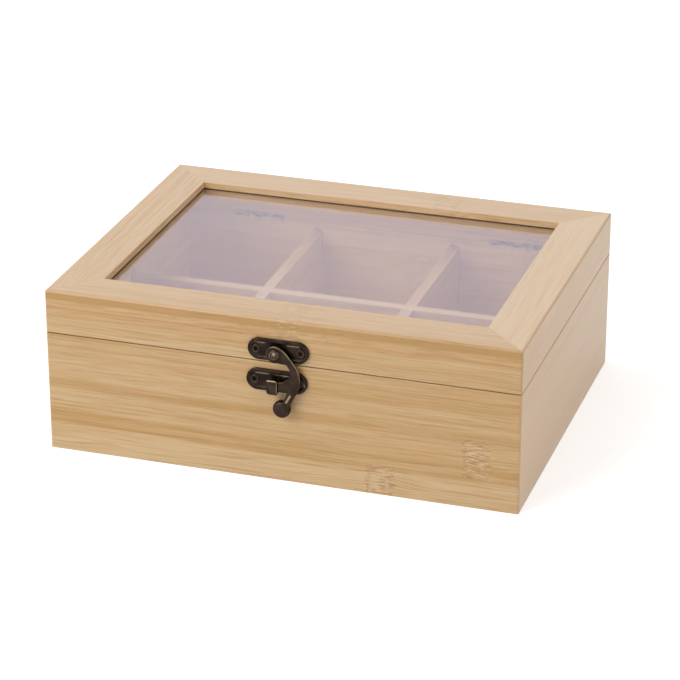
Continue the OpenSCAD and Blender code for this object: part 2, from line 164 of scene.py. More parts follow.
def bambooGroup(s):
    tree, given, out = newGroup(
        "bambooGrain",
        [
            ("Vector", "Vector", (0, 0, 0)), ("Seed", "Float", 0.0),
            ("Strip Foot", "Float", 0.0), ("Strip Width", "Float", 18.0),
            ("Ring At", "Float", 0.0), ("Ring Step", "Float", 41.5), ("Ring Depth", "Float", 0.7),
            ("Tone", "Float", 0.0), ("Contrast", "Float", 1.0),
        ],
        [("Color", "Color"), ("Roughness", "Float"), ("Height", "Float")],
    )
    seed = given["Seed"]
    point = put(tree, "ShaderNodeVectorMath", {0: given["Vector"], "Scale": 1 / mm}, operation="SCALE").outputs[0]
    axis = put(tree, "ShaderNodeSeparateXYZ", {0: point}).outputs
    place = calc(tree, "DIVIDE", calc(tree, "SUBTRACT", axis[2], given["Strip Foot"]), given["Strip Width"])
    strip = calc(tree, "FLOOR", place)
    inStrip = calc(tree, "FRACT", place)
    stripSeed = calc(tree, "MULTIPLY_ADD", strip, 7.31, seed)
    luck = put(tree, "ShaderNodeTexWhiteNoise", {"W": stripSeed}, noise_dimensions="1D").outputs[0]

    # distance along the strip from its culm ring, wrapped so that a long strip has another one further on
    shift = calc(tree, "MULTIPLY_ADD", strip, given["Ring Step"], given["Ring At"])
    turn = calc(tree, "DIVIDE", calc(tree, "SUBTRACT", axis[0], shift), s["ringSpacing"])
    turn = calc(tree, "SUBTRACT", calc(tree, "FRACT", calc(tree, "ADD", turn, 0.5)), 0.5)
    along = calc(tree, "MULTIPLY", turn, s["ringSpacing"])
    # the fibres wander a little from a straight line, and more near a ring
    near = ease(tree, calc(tree, "ABSOLUTE", along), 6, 34, 1.0, 0.0)
    drift = calc(tree, "SUBTRACT", stretched(tree, point, (38, 12, 12), seed, 1.0), 0.5)
    sway = calc(tree, "MULTIPLY_ADD", near, s["ringSway"], s["sway"])
    across = calc(tree, "MULTIPLY_ADD", drift, sway, axis[2])
    bent = put(tree, "ShaderNodeCombineXYZ", {0: axis[0], 1: axis[1], 2: across}).outputs[0]

    bands = stretched(tree, bent, (220, 9, 5.0), stripSeed, 1.5)
    streaks = stretched(tree, bent, (60, 2.0, 1.0), stripSeed, 2.0, 0.6)
    lines = stretched(tree, bent, (26, 1.0, 0.42), stripSeed, 1.0)
    fibres = stretched(tree, bent, (9, 0.45, 0.30), stripSeed, 2.0, 0.6)
    pores = stretched(tree, bent, (5.5, 0.3, 0.3), stripSeed, 1.0)

    tone = calc(tree, "MULTIPLY_ADD", luck, s["luck"], -(s["luck"] + s["bands"] + s["streaks"] + s["fibres"]) / 2)
    for grain, weight in ((bands, s["bands"]), (streaks, s["streaks"]), (fibres, s["fibres"])):
        tone = calc(tree, "MULTIPLY_ADD", grain, weight, tone)
    tone = calc(tree, "MULTIPLY_ADD", tone, given["Contrast"], given["Tone"])
    # tone -0.5 is pale, 0 body, 0.5 gold and 0.75 deep
    share = calc(tree, "MULTIPLY_ADD", tone, 0.8, 0.4, clamp=True)
    color = ramp(tree, share, [(0.0, s["pale"]), (0.4, s["body"]), (0.8, s["gold"]), (1.0, s["deep"])])
    warm = ease(tree, stretched(tree, bent, (45, 7, 2.6), calc(tree, "ADD", stripSeed, 5.0), 1.5), 0.48, 0.70)
    color = blend(tree, calc(tree, "MULTIPLY", warm, s["warmth"]), color, (*s["blush"], 1))

    # thin golden lines along the strip, sparser brown fibre bundles, and the glue line between strips
    golden = calc(tree, "MULTIPLY", ease(tree, lines, 0.53, 0.66), given["Contrast"])
    color = blend(tree, calc(tree, "MULTIPLY", golden, s["lines"]), color, (*s["amber"], 1))
    bundles = stretched(tree, bent, (55, 0.9, 0.42), calc(tree, "ADD", stripSeed, 3.0), 1.0)
    sparse = calc(tree, "MULTIPLY", ease(tree, bundles, 0.64, 0.76), given["Contrast"])
    color = blend(tree, calc(tree, "MULTIPLY", sparse, s["bundles"]), color, (*s["brown"], 1))
    dots = ease(tree, pores, 0.62, 0.8)
    color = blend(tree, calc(tree, "MULTIPLY", dots, 0.12), color, (*s["brown"], 1))
    edge = calc(tree, "MULTIPLY", calc(tree, "ABSOLUTE", calc(tree, "SUBTRACT", inStrip, 0.5)), 2.0)
    start = calc(tree, "SUBTRACT", 1.0, calc(tree, "DIVIDE", s["glueWidth"], given["Strip Width"]))
    glue = ease(tree, edge, start, 1.0)
    patchy = ease(tree, stretched(tree, point, (30, 6, 6), seed, 1.0), 0.35, 0.6, 0.25, 1.0)
    glue = calc(tree, "MULTIPLY", glue, patchy)
    color = blend(tree, calc(tree, "MULTIPLY", glue, 0.34), color, (*s["brown"], 1))

    # a culm ring: level dashes of brown and cream, rarer towards the sides of the band, and dots in two columns
    ragged = stretched(tree, bent, (9, 1.5, 1.2), seed, 2.0)
    along = calc(tree, "ADD", along, calc(tree, "MULTIPLY_ADD", ragged, 9.0, -4.5))
    ring = ease(tree, calc(tree, "ABSOLUTE", along), s["ringHalf"] * 0.5, s["ringHalf"] * 1.3, 1.0, 0.0)
    rarer = calc(tree, "MULTIPLY_ADD", ring, 0.3, -0.3)
    dashes = stretched(tree, bent, (4.2, 0.5, 0.34), calc(tree, "ADD", seed, 9.0), 1.5, 0.5)
    clump = stretched(tree, point, (5, 3, 3), calc(tree, "ADD", seed, 4.0), 1.0)
    darker = calc(tree, "ADD", dashes, calc(tree, "MULTIPLY_ADD", clump, 0.24, -0.12))
    darkMark = ease(tree, calc(tree, "ADD", darker, rarer), 0.50, 0.64)
    specks = stretched(tree, bent, (0.9, 0.5, 0.55), calc(tree, "ADD", seed, 14.0), 1.0)
    for offset in (5.5, -4.0):
        column = ease(tree, calc(tree, "ABSOLUTE", calc(tree, "ADD", along, offset)), 0.2, 1.6, 0.85, 0.0)
        dotted = calc(tree, "MULTIPLY", column, ease(tree, specks, 0.48, 0.60))
        darkMark = calc(tree, "MAXIMUM", darkMark, dotted)
    lightMark = ease(tree, calc(tree, "SUBTRACT", dashes, rarer), 0.49, 0.36)
    color = blend(tree, calc(tree, "MULTIPLY", lightMark, given["Ring Depth"]), color, (*s["cream"], 1))
    color = blend(tree, calc(tree, "MULTIPLY", darkMark, given["Ring Depth"]), color, (*s["mark"], 1))
    tree.links.new(color, out["Color"])

    sheen = calc(tree, "MULTIPLY_ADD", streaks, 0.10, s["roughness"] - 0.05)
    sheen = calc(tree, "ADD", sheen, calc(tree, "MULTIPLY", darkMark, 0.12))
    tree.links.new(sheen, out["Roughness"])
    height = calc(tree, "ADD", calc(tree, "MULTIPLY", fibres, 0.6), calc(tree, "MULTIPLY", streaks, 0.4))
    height = calc(tree, "SUBTRACT", height, calc(tree, "MULTIPLY", calc(tree, "ADD", darkMark, glue), 0.5))
    height = calc(tree, "SUBTRACT", height, calc(tree, "MULTIPLY", dots, 0.3))
    tree.links.new(height, out["Height"])
    return tree


bambooGrain = bambooGroup(bamboo)


# edge wear and painted light on the boards, as three masks: worn edges of the case, lightened by wear and a painted
# edge highlight, the seam between base and lid, stained and darkened by painted shade, and the inner faces of the
# window, brightened by painted light

edgeWear = {
    "half": (107.5, 83.0), "top": 76.0, "parting": 55.95, "reach": 0.8, "seam": 0.7,
    "wearAndHighlightShade": 0.16, "seamShade": 0.36,
}


def edgeWearGroup(s):
    tree, given, out = newGroup(
        "edgeWear",
        [
            ("Vector", "Vector", (0, 0, 0)), ("Seed", "Float", 0.0),
            ("Window X", "Float", 1000.0), ("Window Y", "Float", 1000.0),
        ],
        [("Wear And Highlight", "Float"), ("Seam", "Float"), ("Inner", "Float")],
    )
    point = put(tree, "ShaderNodeVectorMath", {0: given["Vector"], "Scale": 1 / mm}, operation="SCALE").outputs[0]
    axis = put(tree, "ShaderNodeSeparateXYZ", {0: point}).outputs
    # distance from the faces in X, in Y and in Z; on an edge two of the three are 0, so the middle one counts
    gaps = []
    windows = []
    outers = []
    for k, window in enumerate(("Window X", "Window Y")):
        reach = calc(tree, "ABSOLUTE", axis[k])
        outers.append(calc(tree, "ABSOLUTE", calc(tree, "SUBTRACT", s["half"][k], reach)))
        windows.append(calc(tree, "ABSOLUTE", calc(tree, "SUBTRACT", reach, given[window])))
        gaps.append(calc(tree, "MINIMUM", outers[k], windows[k]))
    crown = calc(tree, "ABSOLUTE", calc(tree, "SUBTRACT", s["top"], axis[2]))
    level = calc(tree, "MINIMUM", calc(tree, "ABSOLUTE", axis[2]), crown)
    low = calc(tree, "MINIMUM", *gaps)
    high = calc(tree, "MAXIMUM", *gaps)
    middle = calc(tree, "MAXIMUM", low, calc(tree, "MINIMUM", high, level))
    chips = stretched(tree, point, (7, 7, 7), given["Seed"], 3.0, 0.6)
    middle = calc(tree, "ADD", middle, calc(tree, "MULTIPLY_ADD", chips, 1.6, -0.8))
    # the edge mask: wear, and a painted edge highlight
    tree.links.new(ease(tree, middle, 0.1, s["reach"], 1.0, 0.0), out["Wear And Highlight"])
    # the seam mask: stain, and painted shade along the parting
    parting = calc(tree, "ABSOLUTE", calc(tree, "SUBTRACT", axis[2], s["parting"]))
    seam = ease(tree, parting, 0.2, s["seam"], 1.0, 0.0)
    seam = calc(tree, "MULTIPLY", seam, ease(tree, chips, 0.35, 0.55, 0.5, 1.0))
    seam = calc(tree, "MULTIPLY", seam, ease(tree, calc(tree, "MINIMUM", *outers), 0.5, 1.5, 1.0, 0.0))
    tree.links.new(seam, out["Seam"])
    window = ease(tree, calc(tree, "MINIMUM", *windows), 0.3, 0.6, 1.0, 0.0)
    window = calc(tree, "MULTIPLY", window, ease(tree, crown, 0.2, 0.6))
    tree.links.new(window, out["Inner"])
    return tree


edgeWearMask = edgeWearGroup(edgeWear)


def bambooMaterial(
    name, grain, seed, acrossAxis="Z", bands=(), wander=3.0, fade=1.0, window=(1000, 1000), seam=1.0,
    gain=(1.0, 1.0, 1.0), innerGain=(1.25, 1.28, 1.36), **fixed,
):
    # grain is the axis that the fibres follow; the strips lie side by side along acrossAxis
    mat, tree, shader = newMaterial(
        name, IOR=1.5, Coat_Weight=bamboo["coat"], Coat_Roughness=bamboo["coatRoughness"]
    )
    coords = put(tree, "ShaderNodeTexCoord").outputs["Object"]
    part = put(tree, "ShaderNodeSeparateXYZ", {0: coords}).outputs
    third = ({"X", "Y", "Z"} - {grain, acrossAxis}).pop()
    order = {"X": part[0], "Y": part[1], "Z": part[2]}
    turned = put(tree, "ShaderNodeCombineXYZ", {0: order[grain], 1: order[third], 2: order[acrossAxis]}).outputs[0]
    inputs = {"Vector": turned, "Seed": seed}
    inputs.update({label.replace("_", " "): value for label, value in fixed.items()})
    if bands:
        # darker and paler bands at named heights, from (height in mm, tone) stops, a little wavy and fading along X
        wave = put(tree, "ShaderNodeMapping", {0: turned, "Scale": (9, 40, 40)}).outputs[0]
        wave = put(tree, "ShaderNodeTexNoise", {"Vector": wave, "Scale": 1.0, "Detail": 1.0}).outputs[0]
        place = calc(tree, "MULTIPLY_ADD", part[2], 1 / (80 * mm), -wander / 160)
        place = calc(tree, "ADD", place, calc(tree, "MULTIPLY", wave, wander / 80))
        grey = ramp(tree, place, [(at / 80, (0.5 + tone / 2,) * 3) for at, tone in bands])
        tone = calc(tree, "MULTIPLY_ADD", grey, 2.0, -1.0)
        inputs["Tone"] = calc(tree, "MULTIPLY", tone, ease(tree, part[0], -0.01, 0.06, 1.0, fade))
    got = addGroup(tree, bambooGrain, inputs)
    masks = addGroup(tree, edgeWearMask, {
        "Vector": coords, "Seed": seed, "Window X": window[0], "Window Y": window[1],
    })
    wearAndHighlight = masks["Wear And Highlight"]
    color = blend(tree, 1.0, got["Color"], (*gain, 1), "MULTIPLY")
    # painted light: the window's inner faces are brightened
    color = blend(tree, masks["Inner"], color, (*innerGain, 1), "MULTIPLY")
    # edges lightened towards cream: wear, and a painted edge highlight
    color = blend(tree, calc(tree, "MULTIPLY", wearAndHighlight, edgeWear["wearAndHighlightShade"]), color, (*bamboo["cream"], 1))
    # the seam darkened towards amber: stain and painted shade
    stainAndShade = calc(tree, "MULTIPLY", masks["Seam"], edgeWear["seamShade"] * seam)
    color = blend(tree, stainAndShade, color, (*bamboo["amber"], 1))
    tree.links.new(color, shader.inputs["Base Color"])
    rough = calc(tree, "MULTIPLY_ADD", wearAndHighlight, 0.12, got["Roughness"])
    tree.links.new(rough, shader.inputs["Roughness"])
    bump = put(tree, "ShaderNodeBump", {"Strength": bamboo["bump"], "Distance": 0.1 * mm, "Height": got["Height"]})
    tree.links.new(bump.outputs[0], shader.inputs["Normal"])
    return mat


def dress(nodeNames, mat):
    for name in nodeNames:
        node = cadNodes[name]
        node.data.materials.clear()
        node.data.materials.append(mat)


# heights in mm and tones of the bands that run the length of the front plank
frontBands = [
    (0.0, -0.35), (12.4, -0.30), (13.2, 0.50), (14.4, 0.40), (15.4, 0.15), (18.5, 0.35), (20.5, 0.05),
    (23.2, 0.0), (23.8, 0.35), (24.4, -0.10), (29.0, -0.10), (30.3, 0.40), (33.5, 0.45), (35.2, 0.05),
    (37.0, -0.15), (44.5, -0.15), (46.3, 0.15), (48.0, 0.0), (50.5, 0.25), (53.8, 0.10), (54.8, 0.50),
    (55.6, 0.10), (56.8, -0.20), (61.6, -0.15), (63.9, 0.15), (67.0, 0.0),
]
frontRailBands = [
    (66.0, 0.0), (67.8, 0.10), (68.3, 0.55), (68.9, 0.0), (71.6, 0.05), (72.8, 0.78), (74.9, 0.78), (75.6, 0.0),
]
rightBands = [(0.0, 0.12), (40.0, 0.12), (48.0, 0.30), (58.0, 0.38), (67.0, 0.50)]
rightRailBands = [(0.0, 0.85), (75.2, 0.85), (75.8, -0.6)]
boards = {
    # the front and back boards, and the lid boards above them, were sawn from the same plank
    "frontBamboo": dict(
        nodes=["front_wall", "lid_front_wall"],
        grain="X", seed=1.7, Strip_Foot=14.0, Ring_At=88.5, Ring_Step=42.5, Ring_Depth=0.75,
        bands=frontBands, fade=0.65, Contrast=1.1, gain=(0.99, 0.99, 0.985),
    ),
    "backBamboo": dict(
        nodes=["back_wall", "lid_back_wall"],
        grain="X", seed=5.2, Strip_Foot=9.0, Ring_At=-40.0, Ring_Step=57.0,
    ),
    "leftBamboo": dict(
        nodes=["left_wall", "lid_left_wall"],
        grain="Y", seed=8.9, Strip_Foot=12.0, Ring_At=30.0, Ring_Step=-66.0,
    ),
    "rightBamboo": dict(
        nodes=["right_wall", "lid_right_wall"],
        grain="Y", seed=12.4, Strip_Foot=12.0, Ring_At=130.0, Ring_Step=-20.0, Contrast=0.22,
        bands=rightBands, wander=5.0,
        seam=0.0, gain=(0.93, 0.89, 0.84),
    ),
    "frontRailBamboo": dict(
        nodes=["frame_front_rail"], window=(1000, 62.6),
        grain="X", seed=16.1, acrossAxis="Y", Strip_Foot=-84.0, Strip_Width=24.0, Ring_At=4.5, Ring_Depth=0.36,
        bands=frontRailBands, wander=0.8, Contrast=0.9, gain=(1.01, 0.98, 1.01),
    ),
    "backRailBamboo": dict(
        nodes=["frame_back_rail"], window=(1000, 62.6),
        grain="X", seed=19.3, acrossAxis="Y", Strip_Foot=60.0, Strip_Width=24.0, Ring_At=32.0, Ring_Depth=0.3,
        Contrast=0.8, gain=(1.01, 0.97, 0.98),
    ),
    "leftRailBamboo": dict(
        nodes=["frame_left_rail"], window=(87.1, 1000),
        grain="Y", seed=22.8, acrossAxis="X", Strip_Foot=-109.0, Strip_Width=24.0, Ring_At=160.0,
        Contrast=1.0, gain=(1.03, 1.01, 1.05), innerGain=(1.48, 1.56, 1.70),
    ),
    "rightRailBamboo": dict(
        nodes=["frame_right_rail"], window=(87.1, 1000),
        grain="Y", seed=26.5, acrossAxis="X", Strip_Foot=85.0, Strip_Width=24.0, Ring_At=160.0,
        bands=rightRailBands, wander=0.0, Contrast=0.45, gain=(1.03, 1.0, 1.04),
    ),
    "longDividerBamboo": dict(nodes=["long_divider"], grain="X", seed=31.0, Strip_Foot=6.0, Ring_At=200.0, Contrast=0.8),
    "crossDividerBamboo": dict(
        nodes=["cross_divider_left", "cross_divider_right"],
        grain="Y", seed=35.6, Strip_Foot=15.0, Ring_At=200.0,
    ),
    "floorBamboo": dict(nodes=["bottom_panel"], grain="X", seed=40.2, acrossAxis="Y", Strip_Foot=4.0, Ring_At=20.0),
}
for boardName, board in boards.items():
    settings = dict(board)
    dress(settings.pop("nodes"), bambooMaterial(boardName, **settings))
print("bamboo ready")


# clear acrylic with a hard coat that reflects a little violet

acrylic = {
    "tint": (0.95, 0.95, 0.95, 1),
    "coatTint": (0.95, 0.28, 0.75, 1),
    "shadow": (0.67, 0.67, 0.67, 1),
    "clear": 0.97,
    "ior": 1.49,
    "roughness": 0.04,
}


def acrylicMaterial(s):
    mat, tree, shader = newMaterial(
        "clearAcrylic", IOR=s["ior"], Transmission_Weight=s["clear"],
        Base_Color=s["tint"], Specular_Tint=s["coatTint"],
    )
    coords = put(tree, "ShaderNodeTexCoord").outputs["Object"]
    smear = put(tree, "ShaderNodeTexNoise", {"Vector": coords, "Scale": 22.0, "Detail": 3.0}).outputs[0]
    tree.links.new(calc(tree, "MULTIPLY_ADD", smear, 0.04, s["roughness"] - 0.02), shader.inputs["Roughness"])
    # lamps shine through the pane
    through = put(tree, "ShaderNodeBsdfTransparent", {"Color": s["shadow"]}).outputs[0]
    shade = put(tree, "ShaderNodeLightPath").outputs["Is Shadow Ray"]
    both = put(tree, "ShaderNodeMixShader", {0: shade, 1: shader.outputs[0], 2: through}).outputs[0]
    tree.links.new(both, tree.nodes["Material Output"].inputs["Surface"])
    return mat


dress(["window_pane"], acrylicMaterial(acrylic))


# numpy surfaces of the latch, in mm: x to the right, d out of the front face, z up

frontFace = -83.0


def smooth(value, low, high):
    t = np.clip((value - low) / (high - low), 0, 1)
    return t * t * (3 - 2 * t)


def softened(corners, steps=4, guard=0.12):
    # a line through corners (a, b, r); a quadratic curve of about radius r takes the place of each corner
    path = [np.array([corners[0][:2]])]
    for before, here, after in zip(corners, corners[1:], corners[2:]):
        point = np.array(here[:2])
        back = np.array(before[:2]) - point
        ahead = np.array(after[:2]) - point
        back = back / np.hypot(*back)
        ahead = ahead / np.hypot(*ahead)
        if here[2] == 0:
            path.append([point])
            continue
        trim = here[2] / np.tan(np.arccos(np.clip(back @ ahead, -1, 1)) / 2)
        t = np.linspace(0, 1, steps + 1)[:, None]
        start = point + back * trim
        stop = point + ahead * trim
        path.append([start + back * guard])
        path.append((1 - t) ** 2 * start + 2 * t * (1 - t) * point + t ** 2 * stop)
        path.append([stop + ahead * guard])
    path.append([corners[-1][:2]])
    return np.vstack(path)


def spun(profile, x, z, sides=72):
    # the profile (radius, d) turned about the line through x, z that stands square on the face
    turn = np.linspace(0, 2 * np.pi, sides, endpoint=False)[:, None]
    radius, depth = np.asarray(profile, float).T
    return np.stack([x + radius * np.cos(turn), depth + 0 * turn, z + radius * np.sin(turn)], axis=-1)


def oval(profile, x, z, length, width, sides=28, runs=16):
    # the profile (distance from the middle line, d) carried round a round-ended plate
    half = (length - width) / 2
    right = np.linspace(-0.5 * np.pi, 0.5 * np.pi, sides, endpoint=False)
    along = np.linspace(half, -half, runs, endpoint=False)
    turn = np.concatenate([right, np.full(runs, 0.5 * np.pi), right + np.pi, np.full(runs, 1.5 * np.pi)])
    slide = np.concatenate([np.full(sides, half), along, np.full(sides, -half), -along])
    reach, depth = np.asarray(profile, float).T
    turn, slide = turn[:, None], slide[:, None]
    return np.stack(
        [x + slide + reach * np.cos(turn), depth + 0 * turn, z + reach * np.sin(turn)], axis=-1
    )


def through(points, steps=6):
    # Catmull-Rom curve: a cubic between each pair of points, its slopes taken from their neighbours
    p = np.asarray(points, float)
    p = np.vstack([2 * p[0] - p[1], p, 2 * p[-1] - p[-2]])
    t = np.linspace(0, 1, steps, endpoint=False)[None, :, None]
    a, b, c, d = (p[k:len(p) - 3 + k, None] for k in range(4))
    run = b + 0.5 * ((c - a) * t + (2 * a - 5 * b + 4 * c - d) * t ** 2 + (3 * b - 3 * c + d - a) * t ** 3)
    return np.vstack([run.reshape(-1, p.shape[1]), p[-2:-1]])


def swept(centre, side, rise, wide, thick, power, sides=36):
    # at each station a superellipse: side * wide * cos^power + rise * thick * sin^power; both ends are closed
    turn = np.linspace(0, 2 * np.pi, sides, endpoint=False)[None, :]
    power = np.reshape(power, (-1, 1))
    across = np.sign(np.cos(turn)) * np.abs(np.cos(turn)) ** power * np.reshape(wide, (-1, 1))
    over = np.sign(np.sin(turn)) * np.abs(np.sin(turn)) ** power * np.reshape(thick, (-1, 1))
    grid = centre[:, None] + across[..., None] * side[:, None] + over[..., None] * rise[:, None]
    ends = np.repeat(centre[[0, -1], None], sides, axis=1)
    return np.concatenate([ends[:1], grid, ends[1:]])


def gathered(shells):
    # triangles of all the grids (points, round in u, round in v); points that coincide are shared
    points, faces, count = [], [], 0
    for grid, roundU, roundV in shells:
        ids = count + np.arange(grid.shape[0] * grid.shape[1]).reshape(grid.shape[:2])
        count += ids.size
        if roundU:
            ids = np.vstack([ids, ids[:1]])
        if roundV:
            ids = np.hstack([ids, ids[:, :1]])
        a, b, c, d = ids[:-1, :-1], ids[1:, :-1], ids[1:, 1:], ids[:-1, 1:]
        faces += [np.stack([a, b, c], -1).reshape(-1, 3), np.stack([a, c, d], -1).reshape(-1, 3)]
        points.append(grid.reshape(-1, 3))
    points = np.vstack(points)
    keys, first, same = np.unique(np.round(points, 4), axis=0, return_index=True, return_inverse=True)
    faces = same.reshape(-1)[np.vstack(faces)]
    a, b, c = faces.T
    return points[first], faces[(a != b) & (b != c) & (c != a)]


def bulge(mesh, passes=3):
    # how far each point's neighbours lie behind it along its normal, over the edge's squared length, per mm
    count = len(mesh.vertices)
    points = np.empty(count * 3)
    mesh.vertices.foreach_get("co", points)
    normals = np.empty(count * 3)
    mesh.vertex_normals.foreach_get("vector", normals)
    pairs = np.empty(len(mesh.edges) * 2, int)
    mesh.edges.foreach_get("vertices", pairs)
    points, normals, pairs = points.reshape(-1, 3), normals.reshape(-1, 3), pairs.reshape(-1, 2)
    near = pairs.T.reshape(-1)
    far = pairs[:, ::-1].T.reshape(-1)
    step = points[near] - points[far]
    bend = (step * normals[near]).sum(1) / np.maximum((step ** 2).sum(1), 1e-6)
    share = np.maximum(np.bincount(near, minlength=count), 1)
    value = np.bincount(near, bend, count) / share
    for _ in range(passes):
        value = 0.5 * value + 0.5 * np.bincount(near, value[far], count) / share
    return value


def onStreak(x, z, streak):
    # 1 on the straight line between two points (x, z), easing to 0 at the streak's half width beside it
    x1, z1, x2, z2, half = streak
    run = np.array([x2 - x1, z2 - z1])
    t = np.clip(((x - x1) * run[0] + (z - z1) * run[1]) / max(run @ run, 1e-9), 0, 1)
    return 1 - smooth(np.hypot(x - x1 - t * run[0], z - z1 - t * run[1]), 0, half)


def newPiece(name, shells, mat, body, replaced, edges=0.4, base=0.0, streaks=(), cast=None, sharp=35):
    # wear and painted light: base everywhere, edges where the surface bulges, rubbed brass that is also a painted
    # highlight, and (strength, x1, z1, x2, z2, half) streaks, painted highlights above 0 and painted shade below 0
    points, faces = gathered(shells)
    mesh = bpy.data.meshes.new(name)
    mesh.from_pydata(points.tolist(), [], faces.tolist())
    piece = bpy.data.objects.new(name, mesh)
    bpy.context.scene.collection.objects.link(piece)
    if cast:
        # the forms run into each other like a casting: remeshed in small cells, then smoothed
        piece.modifiers.new("cells", "REMESH").voxel_size = cast["cell"]
        relaxed = piece.modifiers.new("fillets", "SMOOTH")
        relaxed.iterations = cast["passes"]
        seen = piece.evaluated_get(bpy.context.evaluated_depsgraph_get())
        mesh = bpy.data.meshes.new_from_object(seen)
        piece.modifiers.clear()
        piece.data = mesh
    shape = bmesh.new()
    shape.from_mesh(mesh)
    bmesh.ops.recalc_face_normals(shape, faces=shape.faces)
    shape.to_mesh(mesh)
    shape.free()
    place = np.empty(len(mesh.vertices) * 3)
    mesh.vertices.foreach_get("co", place)
    place = place.reshape(-1, 3)
    value = base + edges * smooth(bulge(mesh), 0.2, 1.1)
    for strength, *streak in streaks:
        mask = onStreak(place[:, 0], place[:, 2], streak)
        value = np.maximum(value, strength * mask) if strength > 0 else value + strength * mask
    wearAndPaintedLight = mesh.attributes.new("wearAndPaintedLight", "FLOAT", "POINT")
    wearAndPaintedLight.data.foreach_set("value", value)
    place = np.column_stack([place[:, 0], frontFace - place[:, 1], place[:, 2]]) * mm
    mesh.vertices.foreach_set("co", place.reshape(-1))
    mesh.flip_normals()
    mesh.update()
    mesh.polygons.foreach_set("use_smooth", np.ones(len(mesh.polygons), bool))
    if not cast:
        mesh.set_sharp_from_angle(angle=math.radians(sharp))
    mesh.materials.append(mat)
    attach(piece, body)
    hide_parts(*replaced)
    return piece


# antique bronze: a dark patina, turned to brass where the wear value is above 0, for rubbed wear and painted
# highlights, and to black where it is below 0, for painted shade

bronze = {
    "dark": (0.018, 0.012, 0.0095),
    "warm": (0.036, 0.024, 0.018),
    "brass": (0.60, 0.45, 0.28),
    "black": (0.004, 0.003, 0.003),
    "roughness": 0.34,
    "bump": 0.25,
}


def bronzeMaterial(s):
    mat, tree, shader = newMaterial("antiqueBronze", Metallic=1.0)
    coords = put(tree, "ShaderNodeTexCoord").outputs["Object"]
    point = put(tree, "ShaderNodeVectorMath", {0: coords, "Scale": 1 / mm}, operation="SCALE").outputs[0]
    patch = stretched(tree, point, (5.0, 5.0, 5.0), 4.0, 3.0, 0.55)
    grit = stretched(tree, point, (0.35, 0.35, 0.35), 8.0, 2.0, 0.6)
    color = blend(tree, ease(tree, patch, 0.35, 0.68), (*s["dark"], 1), (*s["warm"], 1))
    wearAndPaintedLight = put(tree, "ShaderNodeAttribute", attribute_name="wearAndPaintedLight").outputs["Fac"]
    color = blend(tree, calc(tree, "MULTIPLY", wearAndPaintedLight, -1.0, clamp=True), color, (*s["black"], 1))
    brassWearAndHighlight = calc(tree, "MULTIPLY", wearAndPaintedLight, ease(tree, grit, 0.30, 0.60, 0.55, 1.0), clamp=True)
    brassWearAndHighlight = calc(tree, "MULTIPLY", brassWearAndHighlight, ease(tree, patch, 0.30, 0.60, 0.65, 1.0))
    color = blend(tree, brassWearAndHighlight, color, (*s["brass"], 1))
    tree.links.new(color, shader.inputs["Base Color"])
    sheen = calc(tree, "MULTIPLY_ADD", grit, 0.16, s["roughness"] - 0.08)
    sheen = calc(tree, "MULTIPLY_ADD", brassWearAndHighlight, -0.08, sheen)
    tree.links.new(sheen, shader.inputs["Roughness"])
    height = calc(tree, "MULTIPLY_ADD", grit, 0.4, patch)
    bump = put(tree, "ShaderNodeBump", {"Strength": s["bump"], "Distance": 0.15 * mm, "Height": height})
    tree.links.new(bump.outputs[0], shader.inputs["Normal"])
    return mat


antiqueBronze = bronzeMaterial(bronze)

plates = {"upper": (0.5, 62.1), "lower": (-0.3, 47.8), "length": 27.5, "width": 9.9}
# from the middle line out: flat field, a hollow flank up to the rounded rim, and the outer side down to the wood
plateProfile = softened([
    (0, 0.90, 0), (2.0, 0.90, 0), (2.5, 0.90, 0), (3.05, 0.90, 0.30), (3.55, 1.30, 0.18), (3.95, 1.32, 0),
    (4.3, 1.32, 0), (4.95, 1.30, 0.32), (4.95, 0, 0), (0, 0, 0),
])
bossProfile = softened([(0, 0.7, 0), (3.7, 0.7, 0), (3.7, 1.75, 0.2), (0, 1.75, 0)])


def plateShell(middle):
    return (oval(plateProfile, *middle, plates["length"], plates["width"]), True, False)


# the tongue: the sheet runs down behind the plate, round the fold and up in front of the arm
tongue = {"x": -1.45, "half": 2.4, "thick": 0.45, "foldD": 2.4, "foldZ": 44.3, "fold": 1.95, "top": 49.35}


def tongueShell(s):
    turn = np.linspace(np.pi, 2 * np.pi, 22)
    bend = np.column_stack([s["foldD"] + s["fold"] * np.cos(turn), s["foldZ"] + s["fold"] * np.sin(turn)])
    leg = np.linspace(s["foldZ"] + 0.4, s["top"], 16)
    line = np.vstack([
        [[s["foldD"] - s["fold"], s["foldZ"] + 2.5], [s["foldD"] - s["fold"], s["foldZ"] + 1.2]],
        bend,
        np.column_stack([np.full(len(leg), s["foldD"] + s["fold"]), leg]),
    ])
    run = np.gradient(line, axis=0)
    run = run / np.linalg.norm(run, axis=1, keepdims=True)
    centre = np.column_stack([np.full(len(line), s["x"]), line])
    side = np.tile([1.0, 0, 0], (len(line), 1))
    rise = np.column_stack([0 * run[:, 0], -run[:, 1], run[:, 0]])
    # the fold's corners are cut round, and the tip is rounded off over its last 0.8 mm
    half = np.full(len(line), s["half"])
    half[2:2 + len(turn)] *= 1 - 0.38 * np.abs(np.sin(turn)) ** 3
    left = np.clip((s["top"] - line[:, 1]) / 0.8, 0, 1)
    left[: len(left) - len(leg)] = 1
    tip = np.sqrt(1 - (1 - left) ** 2)
    thick = s["thick"] * (0.25 + 0.75 * tip)
    return (swept(centre, side, rise, half - 0.6 * (1 - tip), thick, 0.32), False, True)


